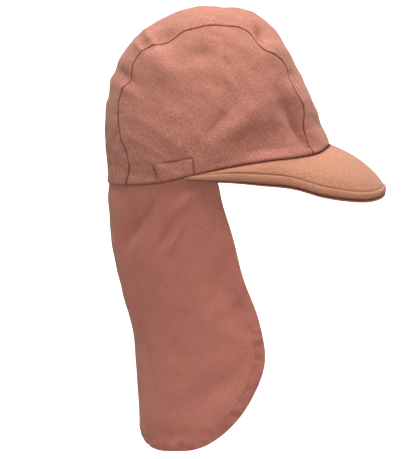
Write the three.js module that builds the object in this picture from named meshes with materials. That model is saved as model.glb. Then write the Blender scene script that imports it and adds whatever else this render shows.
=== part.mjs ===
// A small child's legionnaire cap in plain cotton: a three-panel crown, an elastic casing inside the
// nape, a padded peak of two covers, and a long neck flap that hangs from the back half of the rim.
// X points forward, Y to the wearer's left and Z up. The origin is the middle of the head opening.
// All lengths are in millimetres and all angles in degrees.
import * as THREE from "three";
import { mergeVertices } from "three/addons/utils/BufferGeometryUtils.js";

// Crown
const CROWN_LENGTH = 182; // brow to nape, outside
const CROWN_WIDTH = 144; // across the temples, outside
const CROWN_HEIGHT = 138; // origin to the top of the crown
const BROW_RISE = 24.5; // the rim at the brow, above the origin
const NAPE_DIP = 7; // the rim at the nape, below the origin
const CROWN_WALL = 1.6; // lined cotton
const STRIP_WIDTH = 73; // the centre strip at the top of the head
const FOLD_DEPTH = 4; // the deepest soft fold in the crown
const RIM_TUCK = 3; // how far each temple is drawn in at the rim
const TUCK_HEIGHT = 26; // the height over which it is drawn in
const SEAM_GAP = 0.35; // between pieces that are sewn together
const LINING_GAP = 1.1; // between a piece and what lies inside it

// Elastic casing
const CASING_HEIGHT = 16.5;
const CASING_WALL = 2; // facing and elastic
const CASING_END = 108; // plan angle of each end, from straight ahead

// Peak
const PEAK_REACH = 47.5; // how far the peak stands ahead of the brow
const PEAK_DROP = 37; // how far its edge hangs below the brow
const PEAK_ARCH = 5.2; // how far its middle bulges above a straight line
const PEAK_THICK = 4.6; // both covers and the padding between them
const PEAK_EDGE = 1.5; // both covers at the rounded edge
const PEAK_TAIL = 1.7; // both covers at the tapered ends
const PEAK_END = 108; // plan angle of each tapered end

// Neck flap
const FLAP_LENGTH = 219; // rim to lower hem
const FLAP_WALL = 1.4;
const FLAP_END = 93.8; // plan angle of each front edge
const FLAP_FOLD = 3; // the deepest soft fold in the flap

// The crown seen from the side, as shares of an ellipse of the crown's half length and height, by the
// angle about the origin from straight ahead (0) over the top (90) to straight back (180).
const CROWN_OUTLINE = [
  { angle: 4, radius: 1.05 },
  { angle: 14, radius: 1.01 },
  { angle: 25, radius: 0.98 },
  { angle: 40, radius: 0.943 },
  { angle: 55, radius: 0.945 },
  { angle: 66, radius: 0.981 },
  { angle: 79, radius: 1.007 },
  { angle: 90, radius: 0.992 },
  { angle: 104, radius: 1.034 },
  { angle: 127, radius: 1.118 },
  { angle: 145, radius: 1.1 },
  { angle: 160, radius: 1.057 },
  { angle: 175, radius: 1 },
  { angle: 186, radius: 1 },
];
// How full the crown is: a side panel's exponents, along its outline and across it.
const FULLNESS = { outline: 2.3, across: 2.1 };

// The rim from nape (-1) to brow (1): its height as a share of the way from dip to rise.
const RIM = [
  { forward: -1, lift: 0 },
  { forward: -0.55, lift: 0.17 },
  { forward: -0.26, lift: 0.365 },
  { forward: 0.1, lift: 0.58 },
  { forward: 0.43, lift: 0.72 },
  { forward: 0.72, lift: 0.785 },
  { forward: 0.88, lift: 0.85 },
  { forward: 1, lift: 1 },
];

// The centre strip's width by the angle over the crown: it flares at both ends, and wavers where the
// cloth has puckered.
const STRIP = [
  { angle: 8, width: 1.2 },
  { angle: 18, width: 1.14 },
  { angle: 31, width: 1.04 },
  { angle: 39, width: 0.92 },
  { angle: 49, width: 0.98 },
  { angle: 58, width: 0.85 },
  { angle: 64, width: 0.96 },
  { angle: 71, width: 1.13 },
  { angle: 78, width: 1.0 },
  { angle: 88, width: 0.95 },
  { angle: 98, width: 0.99 },
  { angle: 111, width: 1.01 },
  { angle: 124, width: 0.9 },
  { angle: 133, width: 1.03 },
  { angle: 142, width: 0.95 },
  { angle: 154, width: 1.1 },
  { angle: 168, width: 1.3 },
  { angle: 184, width: 1.2 },
];

// Soft folds of the crown's right and left: where each lies on the half length and height, the lean of
// its long axis from level, its half length and half width as shares of the crown's length, and its
// depth as a share of the deepest fold, with hollows negative.
const RIGHT_FOLDS = [
  { forward: 0.72, up: 0.33, lean: -62, long: 0.1, wide: 0.032, depth: -0.7 }, // behind the brow seam
  { forward: 0.4, up: 0.4, lean: 40, long: 0.1, wide: 0.05, depth: -0.8 }, // temple hollow
  { forward: 0.36, up: 0.26, lean: 24, long: 0.07, wide: 0.03, depth: 0.35 }, // under that hollow
  { forward: 0.11, up: 0.42, lean: 38, long: 0.12, wide: 0.03, depth: 0.4 }, // rising ridge
  { forward: -0.03, up: 0.41, lean: 45, long: 0.08, wide: 0.03, depth: -0.28 }, // beside that ridge
  { forward: -0.18, up: 0.33, lean: 52, long: 0.08, wide: 0.03, depth: 0.26 }, // over the casing's end
  { forward: -0.55, up: 0.32, lean: -32, long: 0.11, wide: 0.03, depth: 0.36 }, // towards the nape
  { forward: -0.53, up: 0.73, lean: 30, long: 0.06, wide: 0.05, depth: 0.45 }, // back bulge
  { forward: -0.75, up: 0.62, lean: 50, long: 0.05, wide: 0.035, depth: -0.45 }, // back hollow
  { forward: -0.17, up: 0.83, lean: 10, long: 0.06, wide: 0.04, depth: -0.4 }, // top hollow
  { forward: 0.38, up: 0.86, lean: 50, long: 0.05, wide: 0.03, depth: -0.7 }, // front of the seam
  { forward: -0.48, up: 0.9, lean: 30, long: 0.05, wide: 0.03, depth: -0.55 }, // back of the strip
];
const LEFT_FOLDS = [
  { forward: 0.3, up: 0.45, lean: 35, long: 0.12, wide: 0.05, depth: -0.7 }, // temple hollow
  { forward: -0.05, up: 0.4, lean: 48, long: 0.11, wide: 0.03, depth: 0.35 }, // rising ridge
  { forward: -0.5, up: 0.36, lean: -28, long: 0.1, wide: 0.03, depth: 0.35 }, // nape ridge
  { forward: 0.05, up: 0.8, lean: -15, long: 0.07, wide: 0.04, depth: -0.4 }, // top hollow
];
// How sharply the folds of one side give way to the other's at the middle plane.
const FOLD_SIDES = 8;

// Half of the peak, from the brow (turn 0) to its tapered end (turn 1): how far it reaches and drops,
// the plan angle that it reaches towards, its bulge and its thickness.
const PEAK = [
  { turn: 0, reach: 1, drop: 0.97, aim: 0, arch: 1, thick: 1 },
  { turn: 0.14, reach: 0.955, drop: 0.98, aim: 8, arch: 0.95, thick: 1 },
  { turn: 0.28, reach: 0.83, drop: 0.89, aim: 14, arch: 0.75, thick: 1 },
  { turn: 0.42, reach: 0.64, drop: 0.72, aim: 19, arch: 0.5, thick: 1 },
  { turn: 0.56, reach: 0.52, drop: 0.47, aim: 22, arch: 0.35, thick: 1 },
  { turn: 0.7, reach: 0.39, drop: 0.33, aim: 23, arch: 0.22, thick: 0.9 },
  { turn: 0.84, reach: 0.25, drop: 0.2, aim: 21, arch: 0.1, thick: 0.35 },
  { turn: 0.93, reach: 0.14, drop: 0.12, aim: 24, arch: 0.04, thick: 0.05 },
  { turn: 1, reach: 0.05, drop: 0.05, aim: 26, arch: 0, thick: 0 },
];

// The neck flap by its level below the rim: how far its back has come forward, as a share of the
// crown's length, and its depth and width as shares of the rim's.
const FLAP = [
  { level: 0, forward: 0, depth: 1, width: 0.99 },
  { level: 0.05, forward: -0.008, depth: 1.03, width: 0.985 },
  { level: 0.12, forward: 0.002, depth: 1.05, width: 0.975 },
  { level: 0.25, forward: 0.018, depth: 1.1, width: 0.955 },
  { level: 0.4, forward: 0.058, depth: 1.12, width: 0.92 },
  { level: 0.55, forward: 0.112, depth: 1.14, width: 0.89 },
  { level: 0.7, forward: 0.14, depth: 1.19, width: 0.86 },
  { level: 0.85, forward: 0.148, depth: 1.2, width: 0.84 },
  { level: 1, forward: 0.15, depth: 1.19, width: 0.83 },
];
// Rounded front corners of the flap, as shares of its half width and its length, and how much
// shorter it is at the middle of the back.
const FLAP_CORNER = { across: 0.5, up: 0.36 };
const FLAP_LIFT = { rise: 0.018, reach: 0.6 };
// Upright soft folds of the flap: their place round it, from its right front edge (-1) to its left
// (1), the level of their middle, their half width and half height, and their depth as a share of the
// deepest fold, with hollows negative.
const FLAP_FOLDS = [
  { around: -0.3, level: 0.14, wide: 0.12, tall: 0.1, depth: -0.8 }, // under the nape
  { around: -0.14, level: 0.8, wide: 0.06, tall: 0.4, depth: 0.8 }, // right back ridge
  { around: 0.02, level: 0.75, wide: 0.07, tall: 0.4, depth: -1 }, // middle hollow
  { around: 0.2, level: 0.7, wide: 0.07, tall: 0.4, depth: 0.8 }, // left back ridge
  { around: 0.42, level: 0.5, wide: 0.1, tall: 0.3, depth: -0.7 }, // left hollow
  { around: -0.55, level: 0.6, wide: 0.09, tall: 0.3, depth: 0.5 }, // right wing ridge
];
// The level by which the flap's folds are at their full depth, below the rim.
const FLAP_FREE = 0.1;

// Grid of each piece. The pieces on both sides of the crown's seams share their columns.
const SEAM_COLUMNS = 40;
const SIDE_GRID = { columns: SEAM_COLUMNS, rows: 12 };
const STRIP_GRID = { columns: SEAM_COLUMNS, rows: 8 };
const CASING_GRID = { columns: 28, rows: 2 };
const PEAK_GRID = { columns: 32, rows: 7 };
const FLAP_GRID = { columns: 34, rows: 14 };
const ROWS_TO_SEAM = 1.4; // above 1, a side panel's rows lie closer near the seam
const COLUMNS_TO_MIDDLE = 1.7; // above 1, its columns fan out from the middle of the rim
const PEAK_ROUNDING = 6; // the higher, the closer to the edge the peak begins to thin
const STEP = { length: 0.05, share: 0.004 }; // between the points that a direction is taken from
const HALVINGS = 40; // of the span in which a place is searched for

const rad = THREE.MathUtils.degToRad;
const deg = THREE.MathUtils.radToDeg;
const lerp = THREE.MathUtils.lerp;
const HALF_LENGTH = CROWN_LENGTH / 2;
const HALF_WIDTH = CROWN_WIDTH / 2;
const FLAP_SET = (CROWN_WALL + PEAK_TAIL) / 2 + LINING_GAP; // inside the crown's face and the peak's ends

// The value of a table's column at a place, on a smooth curve through every row.
function smooth(table, by, column, at) {
  const last = table.length - 1;
  const x = THREE.MathUtils.clamp(at, table[0][by], table[last][by]);
  let i = 0;
  while (i < last - 1 && x > table[i + 1][by]) i += 1;
  const slope = (k) => {
    const before = table[Math.max(k - 1, 0)];
    const after = table[Math.min(k + 1, last)];
    return (after[column] - before[column]) / (after[by] - before[by]);
  };
  const span = table[i + 1][by] - table[i][by];
  const t = (x - table[i][by]) / span;
  const rest = 1 - t;
  return (
    table[i][column] * (1 + 2 * t) * rest * rest +
    table[i + 1][column] * (3 - 2 * t) * t * t +
    span * (slope(i) * t * rest * rest - slope(i + 1) * rest * t * t)
  );
}

// A closed wall between an outer and an inner face, each a grid over u and v from 0 to 1.
// place(u, v, inner) gives the point on either face.
function wall(name, grid, place, material) {
  const points = [];
  const across = grid.columns + 1;
  const perFace = across * (grid.rows + 1);
  for (const inner of [false, true]) {
    for (let j = 0; j <= grid.rows; j += 1) {
      for (let i = 0; i < across; i += 1) {
        points.push(place(i / grid.columns, j / grid.rows, inner));
      }
    }
  }
  const at = (i, j, face) => face * perFace + j * across + i;
  const quads = [];
  for (let j = 0; j < grid.rows; j += 1) {
    for (let i = 0; i < grid.columns; i += 1) {
      quads.push([at(i, j, 0), at(i + 1, j, 0), at(i + 1, j + 1, 0), at(i, j + 1, 0)]);
      quads.push([at(i, j + 1, 1), at(i + 1, j + 1, 1), at(i + 1, j, 1), at(i, j, 1)]);
    }
  }
  for (let i = 0; i < grid.columns; i += 1) {
    const top = grid.rows;
    quads.push([at(i, 0, 1), at(i + 1, 0, 1), at(i + 1, 0, 0), at(i, 0, 0)]);
    quads.push([at(i, top, 0), at(i + 1, top, 0), at(i + 1, top, 1), at(i, top, 1)]);
  }
  for (let j = 0; j < grid.rows; j += 1) {
    const end = grid.columns;
    quads.push([at(0, j, 0), at(0, j + 1, 0), at(0, j + 1, 1), at(0, j, 1)]);
    quads.push([at(end, j, 1), at(end, j + 1, 1), at(end, j + 1, 0), at(end, j, 0)]);
  }
  const mesh = new THREE.Mesh(closedGeometry(points, quads), material);
  mesh.name = name;
  return mesh;
}

// Triangles of the quads, without those that a pointed corner makes flat, facing outwards.
function closedGeometry(points, quads) {
  let geometry = new THREE.BufferGeometry().setFromPoints(points);
  geometry.setIndex(quads.flatMap(([a, b, c, d]) => [a, b, c, a, c, d]));
  geometry = mergeVertices(geometry, 1e-3);
  const index = geometry.index.array;
  const kept = [];
  let volume = 0;
  const corner = [new THREE.Vector3(), new THREE.Vector3(), new THREE.Vector3()];
  for (let k = 0; k < index.length; k += 3) {
    const [a, b, c] = [index[k], index[k + 1], index[k + 2]];
    if (a === b || b === c || c === a) continue;
    kept.push([a, b, c]);
    corner.forEach((p, n) => p.fromBufferAttribute(geometry.attributes.position, [a, b, c][n]));
    volume += corner[0].dot(corner[1].clone().cross(corner[2]));
  }
  geometry.setIndex(kept.flatMap(([a, b, c]) => (volume > 0 ? [a, b, c] : [a, c, b])));
  geometry.computeVertexNormals();
  return geometry;
}

// How far the crown's outline lies from the origin, in the side view.
function outlineRadius(angle) {
  const ellipse = 1 / Math.hypot(Math.cos(rad(angle)) / HALF_LENGTH, Math.sin(rad(angle)) / CROWN_HEIGHT);
  return ellipse * smooth(CROWN_OUTLINE, "angle", "radius", angle);
}

// The angle of a point about the origin in the side view, kept continuous below the nape.
function sideAngle(x, z) {
  const angle = deg(Math.atan2(z, x));
  return angle < -90 ? angle + 360 : angle;
}

function rimHeight(x) {
  return lerp(-NAPE_DIP, BROW_RISE, smooth(RIM, "forward", "lift", x / HALF_LENGTH));
}

// Below 0 inside the plain crown, 0 on its surface and above 0 outside it.
function outside(x, y, z) {
  const share = Math.hypot(x, z) / outlineRadius(sideAngle(x, z));
  return share ** FULLNESS.outline + (Math.abs(y) / HALF_WIDTH) ** FULLNESS.across - 1;
}

// How far out from the middle plane the crown lies, at a place in the side view.
function halfWidthAt(x, z) {
  const share = Math.min(Math.hypot(x, z) / outlineRadius(sideAngle(x, z)), 1);
  return HALF_WIDTH * (1 - share ** FULLNESS.outline) ** (1 / FULLNESS.across);
}

// A point of the plain crown at an angle over the head and a distance from the middle plane.
function overCrown(angle, y) {
  const share = (1 - (Math.abs(y) / HALF_WIDTH) ** FULLNESS.across) ** (1 / FULLNESS.outline);
  const radius = outlineRadius(angle) * share;
  return new THREE.Vector3(radius * Math.cos(rad(angle)), y, radius * Math.sin(rad(angle)));
}

// The crown's outward direction at a point of its surface.
function crownNormal(p) {
  const step = STEP.length;
  return new THREE.Vector3(
    outside(p.x + step, p.y, p.z) - outside(p.x - step, p.y, p.z),
    outside(p.x, p.y + step, p.z) - outside(p.x, p.y - step, p.z),
    outside(p.x, p.y, p.z + step) - outside(p.x, p.y, p.z - step),
  ).normalize();
}

// How far one soft fold reaches a point of the crown, from 1 at its middle to 0 away from it.
function foldShare(fold, p) {
  const dx = p.x - fold.forward * HALF_LENGTH;
  const dz = p.z - fold.up * CROWN_HEIGHT;
  const lean = rad(fold.lean);
  const long = (dx * Math.cos(lean) + dz * Math.sin(lean)) / (fold.long * CROWN_LENGTH);
  const wide = (dz * Math.cos(lean) - dx * Math.sin(lean)) / (fold.wide * CROWN_LENGTH);
  return Math.exp(-long * long - wide * wide);
}

// How far the soft folds push the crown out at a point. They die away at the rim, where it is sewn.
function crownFold(p) {
  const left = 1 / (1 + Math.exp((-FOLD_SIDES * p.y) / HALF_WIDTH));
  const sum = (folds) => folds.reduce((total, fold) => total + fold.depth * foldShare(fold, p), 0);
  const free = THREE.MathUtils.smoothstep(p.z - rimHeight(p.x), 0, CASING_HEIGHT);
  return FOLD_DEPTH * free * (left * sum(LEFT_FOLDS) + (1 - left) * sum(RIGHT_FOLDS));
}

// A point of the plain crown as it is worn: drawn in at the rim, folded, and set in by a depth.
function worn(p, depth) {
  const above = (p.z - rimHeight(p.x)) / TUCK_HEIGHT;
  const tuck = (RIM_TUCK / HALF_WIDTH) * Math.exp(-above * above);
  const sewn = new THREE.Vector3(p.x, p.y * (1 - tuck), p.z);
  return sewn.addScaledVector(crownNormal(p), crownFold(p) - depth);
}

// A point of the plain crown at a plan angle round it and a height above the rim.
function roundRim(angle, height) {
  const [c, s] = [Math.cos(rad(angle)), Math.sin(rad(angle))];
  const at = (r) => new THREE.Vector3(r * c, r * s, rimHeight(r * c) + height);
  let [near, far] = [0, CROWN_LENGTH];
  for (let k = 0; k < HALVINGS; k += 1) {
    const middle = (near + far) / 2;
    const p = at(middle);
    if (outside(p.x, p.y, p.z) < 0) near = middle;
    else far = middle;
  }
  return at(near);
}

function stripHalfWidth(angle) {
  return (STRIP_WIDTH / 2) * smooth(STRIP, "angle", "width", angle);
}

// The angle over the crown at which a line a given way out from the middle plane meets the rim, at the
// brow or at the nape.
function rimAngle(wayOut, atBrow) {
  const end = CROWN_OUTLINE[atBrow ? 0 : CROWN_OUTLINE.length - 1];
  let [below, above] = [end.angle, 90];
  for (let k = 0; k < HALVINGS; k += 1) {
    const middle = (below + above) / 2;
    const p = overCrown(middle, wayOut(middle));
    if (p.z < rimHeight(p.x)) below = middle;
    else above = middle;
  }
  return above;
}

// The centre strip runs from brow to nape between the two seams.
function crownStrip(material) {
  const place = (u, v, inner) => {
    const across = 2 * v - 1;
    const wayOut = (angle) => across * (stripHalfWidth(angle) - SEAM_GAP / 2);
    const angle = lerp(rimAngle(wayOut, true), rimAngle(wayOut, false), u);
    return worn(overCrown(angle, wayOut(angle)), inner ? CROWN_WALL : 0);
  };
  return wall("crown_centre_strip", STRIP_GRID, place, material);
}

// A side panel is D-shaped: the rim is its straight side and the strip's seam its round one.
function crownSide(name, side, material) {
  const seamOut = (angle) => stripHalfWidth(angle) + SEAM_GAP / 2;
  const [brow, nape] = [rimAngle(seamOut, true), rimAngle(seamOut, false)];
  const browX = overCrown(brow, seamOut(brow)).x;
  const napeX = overCrown(nape, seamOut(nape)).x;
  const place = (u, v, inner) => {
    const angle = lerp(brow, nape, u);
    const seam = overCrown(angle, seamOut(angle));
    const half = 2 * u - 1;
    const fan = (1 + Math.sign(half) * Math.abs(half) ** COLUMNS_TO_MIDDLE) / 2;
    const x = lerp(browX, napeX, fan);
    const rise = 1 - (1 - v) ** ROWS_TO_SEAM;
    const [px, pz] = [lerp(x, seam.x, rise), lerp(rimHeight(x), seam.z, rise)];
    const p = new THREE.Vector3(px, side * halfWidthAt(px, pz), pz);
    return worn(p, inner ? CROWN_WALL : 0);
  };
  return wall(name, SIDE_GRID, place, material);
}

// The casing lines the nape: facing and elastic behind the crown's own cloth.
function casing(material) {
  const outer = CROWN_WALL + LINING_GAP;
  const place = (u, v, inner) => {
    const angle = lerp(-CASING_END, CASING_END - 360, u);
    return worn(roundRim(angle, v * CASING_HEIGHT), inner ? outer + CASING_WALL : outer);
  };
  return wall("elastic_casing", CASING_GRID, place, material);
}

// A point of the peak's sewn edge, under the middle of the crown's wall, from right (-1) to left (1).
function peakSeam(across) {
  return worn(roundRim(across * PEAK_END, 0), CROWN_WALL / 2);
}

// One place on the peak, from its sewn edge (outward 0) to its free edge (1): the middle of its
// thickness, the direction to its upper face and its thickness there.
function peakPlace(across, outward) {
  const column = (name) => smooth(PEAK, "turn", name, Math.abs(across));
  const aim = rad(Math.sign(across) * column("aim"));
  const reach = column("reach") * PEAK_REACH;
  const run = new THREE.Vector3(reach * Math.cos(aim), reach * Math.sin(aim), -column("drop") * PEAK_DROP);
  const along = peakSeam(across + STEP.share).sub(peakSeam(across - STEP.share));
  const up = run.clone().cross(along).normalize();
  const thick = lerp(PEAK_TAIL, PEAK_THICK, column("thick"));
  const arch = 4 * outward * (1 - outward) * column("arch") * PEAK_ARCH;
  const middle = peakSeam(across).addScaledVector(run, outward).addScaledVector(up, arch);
  middle.z -= SEAM_GAP + (thick / 2) * Math.abs(up.z);
  return { middle, up, thick };
}

// A cover of the peak, above or below the padding. The covers meet at the rounded edge.
function peakCover(name, above, material) {
  const place = (u, v, inner) => {
    const { middle, up, thick } = peakPlace(2 * u - 1, v);
    const edge = Math.min(PEAK_EDGE, thick);
    const round = Math.sqrt(1 - v ** PEAK_ROUNDING);
    const full = (edge + (thick - edge) * round) / 2;
    const away = inner ? SEAM_GAP / 2 : full;
    return middle.addScaledVector(up, above ? away : -away);
  };
  return wall(name, PEAK_GRID, place, material);
}

// How far the soft folds push the flap out. They die away at the rim.
function flapFold(around, level) {
  let push = 0;
  for (const fold of FLAP_FOLDS) {
    const wide = (around - fold.around) / fold.wide;
    const tall = (level - fold.level) / fold.tall;
    push += fold.depth * FLAP_FOLD * Math.exp(-wide * wide - tall * tall);
  }
  return push * THREE.MathUtils.smoothstep(level, 0, FLAP_FREE);
}

// A point of the unfolded flap at a place round it, from right (-1) to left (1), and a level down it.
function flapPoint(around, level) {
  const back = worn(roundRim(180, 0), FLAP_SET).x;
  const top = worn(roundRim(180 - around * (180 - FLAP_END), 0), FLAP_SET);
  const column = (name) => smooth(FLAP, "level", name, level);
  return new THREE.Vector3(
    back + column("forward") * CROWN_LENGTH + (top.x - back) * column("depth"),
    top.y * column("width"),
    top.z - SEAM_GAP - level * FLAP_LENGTH,
  );
}

// The flap's outward direction at a place.
function flapNormal(around, level) {
  const step = STEP.share;
  const along = flapPoint(around + step, level).sub(flapPoint(around - step, level));
  const down = flapPoint(around, level + step).sub(flapPoint(around, level));
  return down.cross(along).normalize();
}

// The place round the flap and the level of its lower edge, on the column that u gives: a plain hem at
// the back, lifted a little in its middle, then a rounded front corner on either side.
function flapColumn(u) {
  const half = 2 * u - 1;
  const plain = 1 - FLAP_CORNER.across;
  const turn = 90 * THREE.MathUtils.clamp((Math.abs(half) - plain) / FLAP_CORNER.across, 0, 1);
  const out = Math.min(Math.abs(half), plain) + FLAP_CORNER.across * Math.sin(rad(turn));
  const corner = FLAP_CORNER.up * (1 - Math.cos(rad(turn)));
  const lift = FLAP_LIFT.rise * (1 - THREE.MathUtils.smoothstep(out, 0, FLAP_LIFT.reach));
  return { around: Math.sign(half) * out, hem: 1 - corner - lift };
}

// The flap hangs from inside the rim, round the back.
function neckFlap(material) {
  const place = (u, v, inner) => {
    const { around, hem } = flapColumn(u);
    const level = v * hem;
    const push = flapFold(around, level) - (inner ? FLAP_WALL : 0);
    return flapPoint(around, level).addScaledVector(flapNormal(around, level), push);
  };
  return wall("neck_flap", FLAP_GRID, place, material);
}

function cloth(name, color, roughness) {
  return new THREE.MeshStandardMaterial({ name, color, roughness, metalness: 0 });
}

const cap = new THREE.Group();
cap.name = "legionnaire_cap";
const cotton = cloth("cotton", 0xb5776a, 0.92);
const peakCotton = cloth("peak_cotton", 0xc8907a, 0.9);
const facing = cloth("facing", 0xa86d60, 0.95);
cap.add(crownStrip(cotton));
cap.add(crownSide("crown_side_right", -1, cotton));
cap.add(crownSide("crown_side_left", 1, cotton));
cap.add(casing(facing));
cap.add(peakCover("peak_upper", true, peakCotton));
cap.add(peakCover("peak_lower", false, peakCotton));
cap.add(neckFlap(cotton));
export default cap;
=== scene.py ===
# A small child's legionnaire cap in plain cotton: its cloth, seams, folds, stitches and studio.
import math

import bmesh
import bpy
import numpy as np
from mathutils import Matrix, Vector, kdtree


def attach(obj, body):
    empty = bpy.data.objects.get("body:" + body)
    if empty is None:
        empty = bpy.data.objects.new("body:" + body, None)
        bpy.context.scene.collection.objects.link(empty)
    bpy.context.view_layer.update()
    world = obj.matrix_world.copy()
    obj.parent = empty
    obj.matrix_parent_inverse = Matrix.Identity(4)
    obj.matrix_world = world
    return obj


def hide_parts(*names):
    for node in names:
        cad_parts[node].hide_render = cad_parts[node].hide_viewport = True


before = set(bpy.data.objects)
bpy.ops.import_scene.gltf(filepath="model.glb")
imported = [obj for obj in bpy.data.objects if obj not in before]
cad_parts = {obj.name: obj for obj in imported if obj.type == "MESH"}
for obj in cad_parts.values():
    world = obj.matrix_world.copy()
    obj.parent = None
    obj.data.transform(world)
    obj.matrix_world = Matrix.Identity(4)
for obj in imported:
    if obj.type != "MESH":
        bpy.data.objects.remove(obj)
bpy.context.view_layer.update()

# The cap is worked out in millimetres and degrees, and each mesh is made in metres.
MM = 0.001

# Crown
CROWN_LENGTH = 182
CROWN_WIDTH = 144
CROWN_HEIGHT = 138
BROW_RISE = 24.5
NAPE_DIP = 7
CROWN_WALL = 1.6
STRIP_WIDTH = 73
FOLD_DEPTH = 4
FOLDS_FREE = 11  # the folds are whole this far above the rim
RIM_TUCK = 3
TUCK_HEIGHT = 26
SEAM_GAP = 0.12
SEAM_LAP = 0.3  # how far the crown's panels lie over each other where they are sewn
RIM_LIP = 1.4  # how far the crown's edge goes down behind the peak
LINING_GAP = 1.1

# Elastic casing
CASING_HEIGHT = 16.5
CASING_WALL = 2
CASING_END = 108
CASING_LEAN = 3.1  # how far forward the foot of its end line is
CASING_TOP = 1.2  # and its top
CASING_STEP = 2  # how much lower it is stitched at its ends

# Peak
PEAK_REACH = 47.5
PEAK_DROP = 37
PEAK_ARCH = 5.2
PEAK_THICK = 4.6
PEAK_TAIL = 1.7
PEAK_END = 112.5
PEAK_WELT = 5.3  # from the topstitching to the free edge
PEAK_TUCK = 0.6  # its sewn edge goes up inside the rim
PEAK_SHOULDER = 3.8  # how far its sides bulge up before they turn down to the edge
PEAK_SLOPE = 13  # and how far in from the edge they start to
PEAK_LIP = 0.5  # half the groove between its covers
PEAK_PARTING = 0.28  # how far down its edge the groove runs, as a share of the thickness
PEAK_PUFF = 0.35
PEAK_ROUND = {1: 3.6, -1: 2.4}  # how far in from the edge each cover is rounded
PEAK_SILL = 1.2  # how far the lower cover stands out beyond the upper one

# Neck flap
FLAP_LENGTH = 219
FLAP_WALL = 1.4
FLAP_END = 93.8
FLAP_FOLD = 3
FLAP_ROUND = 135  # along the rim, from the middle of the back to a front edge
HEM = 8.5
LEFT_BACK = 5  # the left front edge hangs this much further back
FLAP_OUT = 1.8  # how far its top comes out from inside the rim

# Stitches
STITCH = 2.5
STITCH_PITCH = 3.1
THREAD = 0.22  # half its thickness

# Studio, in metres
FLOOR, FLOOR_HALF, FLOOR_GLOW = -1.0, 8.0, 0.12
WALL_AWAY, WALL_TOP, WALL_GLOW = 3.0, 2.4, 1.0
FILL, FILL_COLOUR = 0.2, (1, 0.98, 0.96, 1)
STAGE_WHITE = (0.8, 0.8, 0.8, 1)
LIGHTS = (  # name, place, size, power, colour
    ("key", (-0.1, -0.5, 1.6), 0.5, 26.5, (0.95, 1.03, 1.03)),
    ("front", (1.1, -0.6, 1.1), 0.7, 8.8, (1, 1, 1)),
    ("camera_side", (-0.9, -1.8, 0.45), 1.2, 8.9, (1, 1, 1)),
    ("back", (0.12, 0.78, 1.3), 0.7, 14, (0.97, 1.02, 1.02)),
)

# Camera
PICTURE_HEIGHT = 459
PIXEL = 0.00082  # metres of the cap for each pixel of the picture
CAMERA_AWAY = 2.4
CAMERA_UP = 6.5
AIM_BACK, AIM_DOWN = 10.5, 55.5  # the picture's middle, in pixels from the middle of the rim
SENSOR = 24
CLIP_END = 200

HALVINGS = 40  # of a range, to find a place in it

HALF_LENGTH = CROWN_LENGTH / 2
HALF_WIDTH = CROWN_WIDTH / 2
FLAP_SET = (CROWN_WALL + PEAK_TAIL) / 2 + LINING_GAP


def table(columns, *rows):
    """The columns of a short table, by name."""
    return dict(zip(columns.split(), np.array(rows, float).T))


def rows_of(t):
    """Each row of a table as a dict."""
    return [dict(zip(t, values)) for values in zip(*t.values())]


# The crown seen from its side, against an ellipse: 0 is in front, 90 on top and 180 at the back.
CROWN_OUTLINE = table(
    "angle radius",
    (4, 1.05),
    (14, 1.01),
    (25, 0.98),
    (40, 0.943),
    (55, 0.945),
    (66, 0.981),
    (79, 1.007),
    (90, 0.992),
    (104, 1.034),
    (127, 1.118),
    (145, 1.1),
    (160, 1.057),
    (175, 1),
    (186, 1),
)
FULL_OUTLINE, FULL_ACROSS = 2.3, 2.1

# The rim from the nape to the brow.
RIM = table(
    "forward lift",
    (-1, 0),
    (-0.55, 0.17),
    (-0.26, 0.365),
    (0.1, 0.58),
    (0.43, 0.72),
    (0.72, 0.785),
    (0.88, 0.85),
    (1, 1),
)

# The width of the strip at angles over the head, as a share of STRIP_WIDTH.
STRIP = table(
    "angle width",
    (8, 1.2),
    (18, 1.14),
    (31, 1.04),
    (39, 0.92),
    (49, 0.98),
    (58, 0.85),
    (64, 0.96),
    (71, 1.13),
    (78, 1.0),
    (88, 0.95),
    (98, 0.99),
    (111, 1.01),
    (124, 0.9),
    (133, 1.03),
    (142, 0.95),
    (154, 1.1),
    (168, 1.3),
    (184, 1.2),
)

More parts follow.
